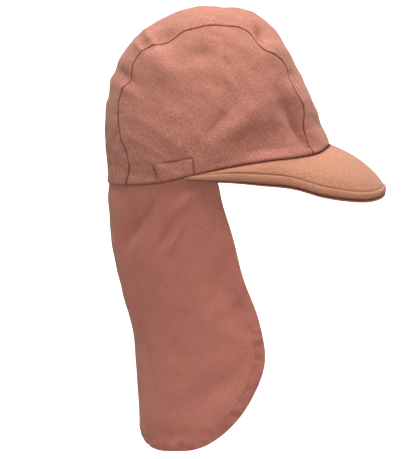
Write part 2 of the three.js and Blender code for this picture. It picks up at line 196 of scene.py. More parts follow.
# Folds of the crown's right side, on the half length and height. lean is the long axis's angle from
# level, long and wide are half sizes in mm, and crest is 2 for a round fold and less for a sharp one.
RIGHT_FOLDS = table(
    "forward up lean long wide crest depth",
    (-0.49, 0.66, -46, 15, 9.5, 2, 1.3),  # bulge behind the temple
    (-0.143, 0.74, 10, 10, 7, 2, -1.1),
    (0.06, 0.69, -60, 6, 4, 1.8, -0.4),
    (0.063, 0.61, -60, 8, 3.5, 1.8, 0.45),
    (-0.063, 0.57, -50, 8, 6, 1.8, -0.45),
    (0.42, 0.71, -40, 7, 5, 2, 0.6),
    (-0.808, 0.58, -40, 17, 6, 1.8, -0.65),  # across the seam at the back
    (-0.82, 0.53, -20, 8, 4.5, 1.8, 0.6),
    (-0.93, 0.57, -20, 5, 4, 1.8, 0.2),
    (-0.538, 0.286, -34, 30, 5.5, 1.5, 0.24),  # from the nape down to the casing's end
    (-0.637, 0.196, -28, 17, 4, 1.5, 0.2),
    (0.13, 0.31, 44, 28, 8, 1.6, 0.7),  # up from the casing's end towards the brow
    (0.01, 0.35, 48, 16, 4, 1.8, -0.6),
    (0.47, 0.23, 12, 21, 15, 2, -1.5),  # temple hollow
    (0.6, 0.42, -52, 13, 7, 2, -0.6),
    (0.655, 0.49, -50, 13, 4, 1.6, 0.35),
    (0.24, 0.28, 38, 12, 4, 1.8, -0.3),
    (0.64, 0.36, -60, 18, 8, 2, -0.6),
    (0.73, 0.3, -64, 22, 6, 2, -1.2),  # beside the brow seam
    (-0.48, 0.82, 30, 13, 6.5, 2, -1.3),  # back of the strip
    (-0.72, 0.768, -50, 9, 2.8, 1.6, 0.5),
    (-0.621, 0.812, -50, 9, 2.8, 1.6, 0.5),
    (-0.126, 0.924, 12, 18, 3, 1.5, 0.3),
    (0.38, 0.845, -50, 8, 5, 1.8, -1.5),  # front of the strip
    (0.505, 0.754, -38, 14, 4, 1.6, 0.5),
    (0.637, 0.591, -70, 7, 3, 1.6, -0.6),
    (0.736, 0.449, -60, 7, 4, 1.8, 0.35),
    (0.92, 0.29, -15, 14, 8, 2, -0.6),  # over the brow
    (-0.363, 0.482, 30, 14, 8, 2, -0.2),
    (-0.236, 0.185, 80, 7, 3.5, 1.6, -0.2),
)
# Painted shade in the deepest creases of the crown, in the same terms, with how far each one is shaded: its
# depth darkens the colour and does not move the cloth.
PAINTED_CREASE_SHADE = table(
    "forward up lean long wide crest depth",
    (0.74, 0.29, -64, 19, 3.2, 2, 0.5),
    (-0.86, 0.63, -40, 8, 2.6, 2, 0.4),
    (0.37, 0.83, -60, 5, 1.8, 2, 0.5),
    (0.25, 0.235, 35, 6, 1.2, 2, 0.12),
)
LEFT_FOLDS = table(
    "forward up lean long wide crest depth",
    (0.7, 0.31, -64, 16, 4.5, 1.6, -0.45),
    (0.3, 0.45, 35, 22, 9, 1.8, -0.6),
    (0.38, 0.24, 18, 12, 4.5, 1.5, 0.3),
    (-0.05, 0.4, 48, 22, 5, 1.5, 0.34),
    (-0.5, 0.36, -28, 20, 5, 1.6, 0.34),
    (-0.58, 0.22, -22, 18, 5, 1.8, -0.3),
    (0.05, 0.8, -15, 13, 7, 1.8, -0.35),
    (-0.6, 0.7, 40, 10, 7, 2, 0.35),
    (-0.8, 0.6, 60, 8, 5, 1.8, -0.35),
    (0.55, 0.7, -50, 12, 5, 1.8, -0.3),
    (0.87, 0.3, -50, 9, 2, 1.5, 0.15),
    (-0.3, 0.92, 15, 12, 6, 1.8, -0.3),
)
FOLD_SIDES = 8  # how sharply the right side's folds give way to the left side's

# The peak from its middle to either end. aim is in degrees, and the others are shares.
PEAK = table(
    "turn reach drop aim arch thick",
    (0, 1, 0.97, 0, 1, 1),
    (0.14, 0.955, 0.98, 8, 0.95, 1),
    (0.28, 0.83, 0.89, 14, 0.75, 1),
    (0.42, 0.64, 0.72, 19, 0.5, 1),
    (0.56, 0.52, 0.47, 22, 0.35, 1),
    (0.7, 0.39, 0.33, 23, 0.22, 0.9),
    (0.84, 0.25, 0.2, 21, 0.1, 0.35),
    (0.93, 0.14, 0.12, 24, 0.04, 0.05),
    (1, 0.05, 0.05, 26, 0, 0),
)

# The flap from its top to its hem. forward is in crown lengths, and the others compare with its top.
FLAP = table(
    "level forward depth width",
    (0, 0, 1, 0.99),
    (0.05, -0.012, 1.075, 0.978),
    (0.12, -0.01, 1.109, 0.955),
    (0.25, 0.003, 1.184, 0.91),
    (0.4, 0.044, 1.194, 0.88),
    (0.55, 0.091, 1.237, 0.87),
    (0.7, 0.11, 1.27, 0.872),
    (0.85, 0.119, 1.24, 0.88),
    (1, 0.127, 1.22, 0.885),
)
CORNER_ACROSS, CORNER_UP = 0.5, 0.35  # a rounded corner, in shares of half its width and its length
LIFT_RISE, LIFT_REACH = 0.04, 0.34  # its hem is higher in the middle of the back
FLAP_FREE = 0.06  # its folds are whole below this share of its length

# Folds of the flap by the place of their middle, round it and down it, with their half sizes in mm.
FLAP_FOLDS = table(
    "around level lean long wide crest depth",
    (-0.395, 0.138, 46, 26, 8.5, 2, -2.5),  # hollow under the nape
    (-0.6, 0.196, 48, 16, 3, 1.8, -0.6),
    (-0.64, 0.225, 48, 15, 2.8, 1.6, 0.6),
    (-0.775, 0.08, 40, 13, 5.5, 2, 0.8),
    (-0.89, 0.146, 80, 20, 5, 2, -0.23),  # along the front edge
    (-0.86, 0.385, 60, 18, 7, 2, -1.0),
    (-0.84, 0.46, 50, 20, 18, 2, -0.6),
    (-0.895, 0.512, 55, 14, 7, 2, -0.7),
    (-0.87, 0.58, 40, 20, 14, 2, -0.5),
    (-0.675, 0.404, 92, 30, 3, 1.8, 0.17),
    (-0.685, 0.787, 32, 27, 11, 2, -0.93),  # over the rounded corner
    (-0.38, 0.95, 5, 22, 7, 2, -0.5),
    (-0.23, 0.954, 60, 8, 6, 2, -0.4),
    (-0.285, 0.746, 100, 32, 5, 2, -0.5),  # down the back
    (-0.545, 0.6, 86, 40, 10, 2, -0.13),
    (0.15, 0.7, 88, 70, 8, 2, 0.6),
    (0.28, 0.72, 92, 70, 8, 1.8, -0.5),
    (0.45, 0.5, 95, 60, 12, 2, -0.6),
    (0.6, 0.2, -50, 28, 6, 1.6, 0.4),
    (0.5, 0.12, 100, 18, 10, 2, -0.4),
    (0.75, 0.62, 80, 40, 9, 2, 0.3),
)


def smooth(t, by, column, at):
    """A table's column at places, on a smooth curve through every row."""
    x, y = t[by], t[column]
    at = np.clip(at, x[0], x[-1])
    slope = np.gradient(y, x, edge_order=1)
    slope[1:-1] = (y[2:] - y[:-2]) / (x[2:] - x[:-2])
    i = np.clip(np.searchsorted(x, at, side="right") - 1, 0, len(x) - 2)
    span = x[i + 1] - x[i]
    s = (at - x[i]) / span
    r = 1 - s
    ends = y[i] * (1 + 2 * s) * r * r + y[i + 1] * (3 - 2 * s) * s * s
    return ends + span * (slope[i] * s * r * r - slope[i + 1] * r * s * s)


def step_up(x, low, high):
    """0 below low, 1 above high and smooth between them."""
    s = np.clip((np.asarray(x, float) - low) / (high - low), 0, 1)
    return s * s * (3 - 2 * s)


SOFT_CREST = 0.01  # keeps a sharp crest a little round


def bell(x, wide, crest=2):
    """1 at 0, and dying away on either side over a half width."""
    return np.exp(-((np.square(x / wide) + SOFT_CREST) ** (crest / 2)))


RIPPLE_WAVES, RIPPLE_PITCHES, RIPPLE_SUM = 6, (0.6, 1.5), 2.4
RELIEF_WAVES, RELIEF_SCALES = 26, (0.7, 1.4)


def ripple(s, size_mm, pitch, seed):
    """An uneven ripple along a line, with about one crest each pitch."""
    rng = np.random.default_rng(seed)
    total = np.zeros(np.shape(s))
    for _ in range(RIPPLE_WAVES):
        turns = s / pitch * rng.uniform(*RIPPLE_PITCHES) + rng.uniform()
        total = total + np.sin(2 * np.pi * turns)
    return size_mm * (total / RIPPLE_SUM)


def relief(p, size_mm, scale, seed):
    """Soft random relief of a size and a scale at points."""
    rng = np.random.default_rng(seed)
    total = np.zeros(p.shape[:-1])
    for _ in range(RELIEF_WAVES):
        direction = rng.normal(size=3)
        direction *= rng.uniform(*RELIEF_SCALES) / scale / np.linalg.norm(direction)
        total += np.sin(2 * np.pi * (p @ direction + rng.uniform()))
    return size_mm * (total / math.sqrt(RELIEF_WAVES))


def unit(v):
    return v / np.maximum(np.linalg.norm(v, axis=-1, keepdims=True), 1e-9)


def outline_radius(angle):
    a = np.radians(angle)
    ellipse = 1 / np.hypot(np.cos(a) / HALF_LENGTH, np.sin(a) / CROWN_HEIGHT)
    return ellipse * smooth(CROWN_OUTLINE, "angle", "radius", angle)


def side_angle(x, z):
    angle = np.degrees(np.arctan2(z, x))
    return np.where(angle < -90, angle + 360, angle)


def rim_height(x):
    lift = smooth(RIM, "forward", "lift", x / HALF_LENGTH)
    return -NAPE_DIP + (BROW_RISE + NAPE_DIP) * lift


def outside(p):
    """Below 0 inside the plain crown, 0 on its surface and above 0 outside it."""
    x, y, z = p[..., 0], p[..., 1], p[..., 2]
    share = np.hypot(x, z) / outline_radius(side_angle(x, z))
    return share**FULL_OUTLINE + (np.abs(y) / HALF_WIDTH) ** FULL_ACROSS - 1


def half_width_at(x, z):
    share = np.minimum(np.hypot(x, z) / outline_radius(side_angle(x, z)), 1)
    return HALF_WIDTH * (1 - share**FULL_OUTLINE) ** (1 / FULL_ACROSS)


def over_crown(angle, y):
    """Points of the plain crown at an angle over the head and a distance from the middle plane."""
    share = (1 - (np.abs(y) / HALF_WIDTH) ** FULL_ACROSS) ** (1 / FULL_OUTLINE)
    radius = outline_radius(angle) * share
    a = np.radians(angle)
    return np.stack([radius * np.cos(a), y + 0 * radius, radius * np.sin(a)], -1)


def crown_normal(p):
    step = 0.05
    axes = np.eye(3) * step
    return unit(np.stack([outside(p + a) - outside(p - a) for a in axes], -1))


def tucked(p):
    """Points of the plain crown, drawn in at the rim."""
    above = (p[..., 2] - rim_height(p[..., 0])) / TUCK_HEIGHT
    out = p.copy()
    out[..., 1] *= 1 - RIM_TUCK / HALF_WIDTH * np.exp(-above * above)
    return out


def halved(near, far, inside):
    """The last place that is inside, going from near to far."""
    for _ in range(HALVINGS):
        middle = (near + far) / 2
        within = inside(middle)
        near, far = np.where(within, middle, near), np.where(within, far, middle)
    return near


def round_rim(angle, height):
    """Points of the plain crown at a plan angle round it and a height above the rim."""
    angle, height = np.broadcast_arrays(np.asarray(angle, float), np.asarray(height, float))
    c, s = np.cos(np.radians(angle)), np.sin(np.radians(angle))

    def at(r):
        return np.stack([r * c, r * s, rim_height(r * c) + height], -1)

    far = np.full(angle.shape, float(CROWN_LENGTH))
    return at(halved(np.zeros(angle.shape), far, lambda r: outside(at(r)) < 0))


def strip_half_width(angle):
    return STRIP_WIDTH / 2 * smooth(STRIP, "angle", "width", angle)


def rim_angle(way_out, at_brow):
    """The angle over the crown at which a line of that way out meets the rim, at brow or nape."""

    def above_rim(angle):
        p = over_crown(angle, np.array(way_out(angle)))
        return p[2] >= rim_height(p[0])

    below = CROWN_OUTLINE["angle"][0 if at_brow else -1]
    return float(halved(90.0, below, above_rim))


def along_line(points):
    """The length along a line of points, at each point."""
    steps = np.linalg.norm(np.diff(points, axis=0), axis=1)
    return np.concatenate([[0], np.cumsum(steps)])


class Line:
    """A line that distances are measured from, such as a seam."""

    def __init__(self, points):
        self.length = along_line(points)
        self.tree = kdtree.KDTree(len(points))
        for k, p in enumerate(points):
            self.tree.insert(Vector(p), k)
        self.tree.balance()

    def near(self, p):
        """(distance, length along the line) of the nearest place, for each point."""
        flat = p.reshape(-1, 3)
        found = [self.tree.find(Vector(q)) for q in flat]
        distance = np.array([f[2] for f in found]).reshape(p.shape[:-1])
        along = self.length[[f[1] for f in found]].reshape(p.shape[:-1])
        return distance, along


def seam_points(side, count=900):
    angle = np.linspace(
        rim_angle(strip_half_width, True), rim_angle(strip_half_width, False), count
    )
    return over_crown(angle, side * strip_half_width(angle))


SEAMS = {side: Line(seam_points(side)) for side in (-1, 1)}


def fold_sum(folds, dx, dz):
    """What a table of folds adds at places in its own plane. dx and dz give offsets from a fold."""
    total = 0
    for fold in rows_of(folds):
        lean = math.radians(fold["lean"])
        x, z = dx(fold), dz(fold)
        long = (x * math.cos(lean) + z * math.sin(lean)) / fold["long"]
        wide = (z * math.cos(lean) - x * math.sin(lean)) / fold["wide"]
        total = total + fold["depth"] * np.exp(-long * long) * bell(wide, 1, fold["crest"])
    return total


def crown_folds(folds, p):
    """What a table of the crown's folds adds at points."""
    return fold_sum(
        folds,
        lambda f: p[..., 0] - f["forward"] * HALF_LENGTH,
        lambda f: p[..., 2] - f["up"] * CROWN_HEIGHT,
    )


def soft_folds(p):
    """(push, painted shade) of the soft folds, which differ from the crown's right to its left. The painted
    shade is mostly on the right side.
    """
    left = 1 / (1 + np.exp(-FOLD_SIDES * p[..., 1] / HALF_WIDTH))
    push = left * crown_folds(LEFT_FOLDS, p) + (1 - left) * crown_folds(RIGHT_FOLDS, p)
    return FOLD_DEPTH * push, (1 - left) * crown_folds(PAINTED_CREASE_SHADE, p)


CASING_FALL = (-62, -30)  # where its top comes down


def casing_end_lean(height):
    """How far forward the casing's end line stands at a height."""
    return CASING_LEAN + (CASING_TOP - CASING_LEAN) * height / CASING_HEIGHT


def casing_top(x):
    return CASING_HEIGHT - CASING_STEP * step_up(x, *CASING_FALL)


# The band over the casing: its creases round the nape, its belly and its stitched lines, with painted shade
# in the creases and along the lines.
CASING_CREASES = table("place depth", (-71, 1), (-24, 0.4), (12, 0.8), (38, 0.5), (64, 0.7))
CREASE_WIDE, CREASE_CREST, CREASE_LEAN, CREASE_LEVEL = 1.5, 1.5, 0.15, 8
CREASE_DIP, CREASE_SHADE = 1.5, 0.55
BAND_END, BAND_TOP = 0.4, 0.6  # half the widths over which it begins
BAND_BELLY, BAND_UNEVEN = 0.4, 0.25
BAND_GATHERS = (1, 9, 5)  # size, pitch and seed, as for the other ripples
PUCKER, PUCKER_REACH = 0.55, 10  # above the band
FAINT, FAINT_TO = 0.3, (-52, -42)  # its top line is faint round the back
TOP_LINE, END_LINE, END_LINE_WIDE = 0.7, 1.3, 0.55
LINE_DIP, LINE_SHADE = 0.7, 0.62


def casing_creases(round_nape, height):
    """How deep the band folds in between its gathers."""
    total = 0
    for painted_shade in rows_of(CASING_CREASES):
        middle = painted_shade["place"] + CREASE_LEAN * (height - CREASE_LEVEL)
        total = total + painted_shade["depth"] * bell(round_nape - middle, CREASE_WIDE, CREASE_CREST)
    return total


def casing_relief(p):
    """(push, painted shade) of the band over the elastic casing, at the nape."""
    height = p[..., 2] - rim_height(p[..., 0])
    angle = np.degrees(np.arctan2(p[..., 1], p[..., 0]))
    radius = np.hypot(p[..., 0], p[..., 1])
    past_end = np.radians(np.abs(angle) - CASING_END) * radius + casing_end_lean(height)
    top = casing_top(p[..., 0])
    band = step_up(past_end, -BAND_END, BAND_END)
    below = step_up(top - height, -BAND_TOP, BAND_TOP)
    round_nape = np.sign(angle) * np.radians(180 - np.abs(angle)) * radius
    gathers = ripple(round_nape, *BAND_GATHERS)
    belly = np.sqrt(np.clip(np.sin(np.pi * np.clip(height / top, 0, 1)), 0, 1))
    push = band * below * belly * (BAND_BELLY + BAND_UNEVEN * gathers)
    push += band * (1 - below) * PUCKER * gathers * np.exp(-(height - top) / PUCKER_REACH)
    firm = FAINT + (1 - FAINT) * step_up(p[..., 0], *FAINT_TO)
    top_line = band * firm * bell(height - top, TOP_LINE)
    line = np.maximum(top_line, END_LINE * below * bell(past_end, END_LINE_WIDE))
    creases = casing_creases(round_nape, height) * band * below * belly
    # Painted shade along the stitched lines and in the creases between the gathers.
    painted_shade = np.clip(LINE_SHADE * line + CREASE_SHADE * creases, 0, 1)
    return push - LINE_DIP * line - CREASE_DIP * creases, painted_shade


# The cloth beside the crown's seams, with the turned-in cloth that makes it stand out.
SEAM_PUCKER, SEAM_PITCH, SEAM_REACH, SEAM_SMOOTH, SEAM_SEED = 0.2, 7, 5, 2, 20
SIDE_ALLOWANCE, STRIP_ALLOWANCE = 0.1, 0.25
ALLOWANCE_AT, ALLOWANCE_WIDE = 1.8, 1.1
SEAM_DIP, SEAM_DIP_WIDE, SEAM_SHADE_WIDE = 0.3, 0.65, 0.62


def seam_relief(p):
    """(push, painted shade) of the cloth beside the crown's two seams, with a dark line of painted shade in
    each seam's groove.
    """
    on_side = np.abs(p[..., 1]) > strip_half_width(side_angle(p[..., 0], p[..., 2]))
    allowance = np.where(on_side, SIDE_ALLOWANCE, STRIP_ALLOWANCE)
    push, painted_shade = 0, 0
    for side, seam in SEAMS.items():
        distance, along = seam.near(p)
        puckers = ripple(along, SEAM_PUCKER, SEAM_PITCH, SEAM_SEED + side) * np.exp(-distance / SEAM_REACH)
        push = push + puckers * step_up(distance, 0, SEAM_SMOOTH)
        push += allowance * bell(distance - ALLOWANCE_AT, ALLOWANCE_WIDE)
        push -= SEAM_DIP * bell(distance, SEAM_DIP_WIDE)
        # Painted shade: a dark line along the seam's groove.
        painted_shade = np.maximum(painted_shade, bell(distance, SEAM_SHADE_WIDE))
    return push, painted_shade


# The cloth along the rim: ripples at the brow, a scalloped line of painted shadow, darkest over the peak,
# and the stitches that hold it.
BROW_RIPPLE, SCALLOPS, RIM_PUCKERS = (0.3, 3.6, 35), (0.4, 3, 34), (0.2, 2.4, 33)
BROW_FROM, BROW_HIGH, BROW_LOW = (48, 64), 15, 3
OVER_PEAK = (-25, 5)
SCALLOP_FROM = (50, 75)
# How wide and how dark the rim's line of painted shadow is, wider and darker over the peak; RIM_DIP is how
# far the cloth sinks along it.
RIM_LINE, RIM_LINE_PEAK, RIM_SHADE, RIM_DIP = 0.9, 0.7, 0.55, 0.35
RIM_PUCKER_HIGH = 2.5
RIM_ROLL, RIM_ROLL_AT, RIM_ROLL_WIDE = 0.2, 3, 2


def rim_relief(p, height):
    """(push, painted shade) of the cloth along the rim, where a line of painted shadow runs."""
    x, y = p[..., 0], p[..., 1]
    brow = step_up(x, *BROW_FROM) * np.exp(-np.square(height / BROW_HIGH))
    push = ripple(y, *BROW_RIPPLE) * brow * step_up(height, 0, BROW_LOW)
    near_peak = step_up(x, *OVER_PEAK)
    scallops = ripple(y, *SCALLOPS) * step_up(x, *SCALLOP_FROM)
    line = bell(height + scallops, RIM_LINE + RIM_LINE_PEAK * near_peak)
    line = line * (RIM_SHADE + (1 - RIM_SHADE) * near_peak)
    puckers = ripple(np.degrees(np.arctan2(y, x)), *RIM_PUCKERS)
    push += puckers * bell(height, RIM_PUCKER_HIGH) - RIM_DIP * line
    return push + RIM_ROLL * bell(height - RIM_ROLL_AT, RIM_ROLL_WIDE), line


CROWN_RELIEF = ((0.35, 40, 11), (0.32, 20, 12), (0.13, 10, 13))  # size, scale, seed


def crown_relief(p):
    """(push, painted shade) of the crown's cloth at points of the plain crown."""
    height = p[..., 2] - rim_height(p[..., 0])
    push, painted_shade = soft_folds(p)
    for part in CROWN_RELIEF:
        push = push + relief(p, *part)
    push = push * step_up(height, 0, FOLDS_FREE)
    for more, line in (seam_relief(p), rim_relief(p, height), casing_relief(p)):
        push += more
        painted_shade = np.maximum(painted_shade, line)
    return push, painted_shade


LIP_HEIGHT, LIP_FADE = 0.3, 8


def rim_lip(p):
    """How far the crown's edge goes down behind the peak."""
    height = np.maximum(p[..., 2] - rim_height(p[..., 0]), 0)
    turn = np.degrees(np.abs(np.arctan2(p[..., 1], p[..., 0])))
    return RIM_LIP * np.exp(-height / LIP_HEIGHT) * (1 - step_up(turn, PEAK_END - LIP_FADE, PEAK_END))


def crown_place(p, depth):
    """(points, outward directions, painted shade) of the worn crown, set in by a depth."""
    normal = crown_normal(p)
    push, painted_shade = crown_relief(p)
    lip = rim_lip(p)
    out = tucked(p) + normal * (push - depth - lip / 2)[..., None]
    out[..., 2] -= lip
    return out, normal, painted_shade


EDGE_STEPS = (0, 0.12, 0.4, 0.85, 1.5, 2.4, 3.6, 5)


def finer_at_ends(count, length, margin=EDGE_STEPS):
    """Shares from 0 to 1 with close steps over the first and last few millimetres."""
    margin = np.array(margin) / length
    middle = np.linspace(margin[-1], 1 - margin[-1], count)
    return np.concatenate([margin[:-1], middle, 1 - margin[:-1][::-1]])


def rounded(distance, wall):
    """Half a wall's thickness near its rounded edge."""
    near = np.clip(distance / (wall / 2), 0, 1)
    return wall / 2 * np.sqrt(1 - (1 - near) ** 2)


WELD, SLIVER = 2e-6, 1e-7  # in metres


def closed_border(half):
    """Half thicknesses that come to nothing all round a grid."""
    half[0, :] = half[-1, :] = half[:, 0] = half[:, -1] = 0
    return half


def mesh_object(name, points, faces, material, grain=None, painted_shade=None):
    """A smooth closed mesh from points in mm, with its cloth grain and how much painted shade darkens it.
    """
    mesh = bpy.data.meshes.new(name)
    mesh.from_pydata((points * MM).tolist(), [], faces)
    if grain is not None:
        layer = mesh.attributes.new("grain", "FLOAT_VECTOR", "POINT")
        layer.data.foreach_set("vector", (grain * MM).astype(np.float32).ravel())
        layer = mesh.attributes.new("painted_shade", "FLOAT", "POINT")
        layer.data.foreach_set("value", painted_shade.astype(np.float32).ravel())
    bm = bmesh.new()
    bm.from_mesh(mesh)
    bmesh.ops.remove_doubles(bm, verts=bm.verts, dist=WELD)
    bmesh.ops.dissolve_degenerate(bm, edges=bm.edges, dist=SLIVER)
    bmesh.ops.recalc_face_normals(bm, faces=bm.faces)
    bm.to_mesh(mesh)
    bm.free()
    mesh.polygons.foreach_set("use_smooth", [True] * len(mesh.polygons))
    mesh.materials.append(material)
    obj = bpy.data.objects.new(name, mesh)
    bpy.context.scene.collection.objects.link(obj)
    return obj


def grid_faces(rows, columns):
    """Faces of an outer and an inner grid of points, joined round their border."""
    index = np.arange(rows * columns).reshape(rows, columns)
    a, b, c, d = index[:-1, :-1], index[:-1, 1:], index[1:, 1:], index[1:, :-1]
    outer = np.stack([a, b, c, d], -1).reshape(-1, 4)
    inner = outer[:, ::-1] + rows * columns
    ring = np.concatenate([index[0, :-1], index[:-1, -1], index[-1, :0:-1], index[:0:-1, 0]])
    after = np.roll(ring, -1)
    border = np.stack([after, ring, ring + rows * columns, after + rows * columns], -1)
    return np.concatenate([outer, inner, border]).tolist()


def wall_object(name, outer, inner, grain, painted_shade, material):
    rows, columns = outer.shape[:2]
    points = np.concatenate([outer.reshape(-1, 3), inner.reshape(-1, 3)])
    flat = np.concatenate([grain, np.zeros(grain.shape[:2] + (1,))], -1).reshape(-1, 3)
    shade = np.concatenate([painted_shade.ravel()] * 2)
    faces = grid_faces(rows, columns)
    return mesh_object(name, points, faces, material, np.concatenate([flat, flat]), shade)


def cloth_object(name, middle, normal, half, grain, painted_shade, material):
    """A cloth wall about its middle surface."""
    half = half[..., None]
    return wall_object(name, middle + normal * half, middle - normal * half, grain, painted_shade, material)


SIDE_ALONG, SIDE_UP = (230, 330), (84, 110)  # the grid's steps, and the length in mm that it covers
SIDE_FAN = 1.7
SIDE_CURVE = 0.8  # how much the grain follows the side's curve


def crown_side(name, side, material):
    def way_out(angle):
        return strip_half_width(angle) - SEAM_LAP / 2

    ends = rim_angle(way_out, True), rim_angle(way_out, False)
    u = finer_at_ends(*SIDE_ALONG)
    v = finer_at_ends(*SIDE_UP)[:, None]
    angle = ends[0] + (ends[1] - ends[0]) * u
    seam = over_crown(angle, way_out(angle))
    fan = (1 + np.sign(2 * u - 1) * np.abs(2 * u - 1) ** SIDE_FAN) / 2
    x = seam[0, 0] + (seam[-1, 0] - seam[0, 0]) * fan
    px = x + (seam[:, 0] - x) * v
    pz = rim_height(x) + (seam[:, 2] - rim_height(x)) * v
    p = np.stack([px, side * half_width_at(px, pz), pz], -1)
    middle, normal, painted_shade = crown_place(p, CROWN_WALL / 2)
    edge = np.minimum(SEAMS[side].near(p)[0], pz - rim_height(px))
    half = closed_border(rounded(edge, CROWN_WALL))
    grain = np.stack([px, pz + SIDE_CURVE * (HALF_WIDTH - np.abs(p[..., 1]))], -1)
    return cloth_object(name, middle, normal, half, grain, painted_shade, material)


STRIP_ALONG, STRIP_ACROSS = (300, 400), (62, STRIP_WIDTH)


def crown_strip(name, material):
    v = 2 * finer_at_ends(*STRIP_ACROSS)[:, None] - 1
    u = finer_at_ends(*STRIP_ALONG)

    def way_out(angle):
        return v[:, 0] * (strip_half_width(angle) + SEAM_LAP / 2)

    ends = []
    for at_brow in (True, False):
        ends.append([rim_angle(lambda a, k=k: way_out(a)[k], at_brow) for k in range(len(v))])
    brow, nape = (np.array(e)[:, None] for e in ends)
    angle = brow + (nape - brow) * u
    y = v * (strip_half_width(angle) + SEAM_LAP / 2)
    p = over_crown(angle, y)
    middle, normal, painted_shade = crown_place(p, CROWN_WALL / 2)
    to_seam = np.minimum(SEAMS[-1].near(p)[0], SEAMS[1].near(p)[0])
    edge = np.minimum(to_seam, p[..., 2] - rim_height(p[..., 0]))
    half = closed_border(rounded(edge, CROWN_WALL))
    along = along_line(p[len(v) // 2])
    grain = np.stack([along + 0 * y, y], -1)
    return cloth_object(name, middle, normal, half, grain, painted_shade, material)


CASING_ALONG, CASING_UP = (220, 230), (16, CASING_HEIGHT)
CASING_FOOT = 0.4  # its foot's height above the rim
CASING_PLEATS = ((1, 5.5, 41), (0.5, 2.8, 42))
CASING_BELLY, CASING_PLEAT, BELLY_FULL = 0.35, 0.3, 0.6
CASING_EDGE, PLEAT_SHADE = 0.8, 0.35


def casing(name, material):
    u = finer_at_ends(*CASING_ALONG)
    v = finer_at_ends(*CASING_UP)[:, None]
    angle = -CASING_END + (2 * CASING_END - 360) * u
    p = round_rim(angle + 0 * v, CASING_FOOT + v * (CASING_HEIGHT - CASING_FOOT))
    along = along_line(p[0])
    gathers = sum(ripple(along + 0 * v, *pleats) for pleats in CASING_PLEATS)
    belly = np.sin(np.pi * v) ** BELLY_FULL
    depth = CROWN_WALL + LINING_GAP + CASING_WALL / 2 + belly * (CASING_BELLY + CASING_PLEAT * gathers)
    normal = crown_normal(p)
    middle = tucked(p) - normal * depth[..., None]
    half = rounded(np.minimum(v, 1 - v) * CASING_HEIGHT + 0 * along, CASING_WALL * CASING_EDGE)
    half[:, 0] = half[:, -1] = 0
    grain = np.stack([along + 0 * v, CASING_HEIGHT * v + 0 * along], -1)
    # Painted shade in the hollows between the pleats.
    painted_shade = PLEAT_SHADE * np.clip(-gathers, 0, 1) * belly
    return cloth_object(name, middle, normal, half, grain, painted_shade, material)


def peak_seam(across):
    p = round_rim(across * PEAK_END, 0)
    return tucked(p) - crown_normal(p) * (CROWN_WALL / 2)


def peak_run(across):
    """(run from the seam to the free edge, values of the peak's table) at places across the peak."""
    turn = np.abs(across)
    value = {c: smooth(PEAK, "turn", c, turn) for c in ("reach", "drop", "aim", "arch", "thick")}
    aim = np.radians(np.sign(across) * value["aim"])
    reach = value["reach"] * PEAK_REACH
    run = np.stack([reach * np.cos(aim), reach * np.sin(aim), -value["drop"] * PEAK_DROP], -1)
    return run, value


def peak_edge_points(count=900):
    across = np.linspace(-1, 1, count)
    return peak_seam(across) + peak_run(across)[0]


PEAK_EDGE = Line(peak_edge_points())


SHOULDER_AT, SHOULDER_WIDE, SHOULDER_OUT = 0.6, 0.28, 0.5
ACROSS_STEP, TUCK_POWER = 0.004, 8


def peak_place(across, outward):
    """(middle of the thickness, direction up, thickness, distance from the free edge)."""
    run, value = peak_run(across)
    along = peak_seam(across + ACROSS_STEP) - peak_seam(across - ACROSS_STEP)
    up = unit(np.cross(run, along))
    thick = PEAK_TAIL + (PEAK_THICK - PEAK_TAIL) * value["thick"]
    arch = 4 * outward * (1 - outward) * value["arch"] * PEAK_ARCH
    plain = peak_seam(across) + run * outward[..., None]
    edge, _ = PEAK_EDGE.near(plain)
    middle = plain + up * arch[..., None]
    shoulder = PEAK_SHOULDER * np.exp(-np.square((np.abs(across) - SHOULDER_AT) / SHOULDER_WIDE))
    shoulder *= step_up(outward, 0, SHOULDER_OUT) * (1 - (1 - np.clip(edge / PEAK_SLOPE, 0, 1)) ** 2)
    tuck = PEAK_TUCK * (1 - outward) ** TUCK_POWER
    middle[..., 2] += shoulder + tuck - thick / 2 * np.abs(up[..., 2])
    return middle, up, thick, edge


def peak_inset(across, inset):
    """How far outward the line runs that lies a distance inside the peak's free edge."""
    far = np.ones(across.shape)
    return halved(np.zeros(across.shape), far, lambda out: peak_place(across, out)[3] > inset)


PARTING_REACH = 5
WELT_NARROW, WELT_THIN, WELT_GROWTH = 0.5, 0.25, 1.25


def peak_parting(edge, thick):
    """How far the groove between the covers lies off the middle of the thickness."""
    return -PEAK_PARTING * thick * np.exp(-np.square(edge / PARTING_REACH))


def welt_width(thick):
    """From the topstitching to the free edge, which come nearer where the peak is thin."""
    return PEAK_WELT * np.clip(WELT_THIN + WELT_GROWTH * thick / PEAK_THICK, WELT_NARROW, 1)


PAD_THIN, LIP_DEEP = 0.45, 1.1
STITCHED_GROWTH, STITCHED_FROM = 2, 0.6
GROOVE_WIDE, GROOVE_DEEP, GROOVE_UPPER = 0.6, 0.72, 0.23
GROOVE_SHADE, GROOVE_SHADE_WIDE = 0.85, 0.42
HOLLOW_DEEP, HOLLOW_IN, HOLLOW_OUT = 0.12, (-1, 1), (2, 9)  # from the topstitching, in mm
PUCKER_SIZE, PUCKER_PITCH, PUCKER_SPAN, PUCKER_SEED, PUCKER_WIDE = 0.1, 5.5, 150, 52, 4


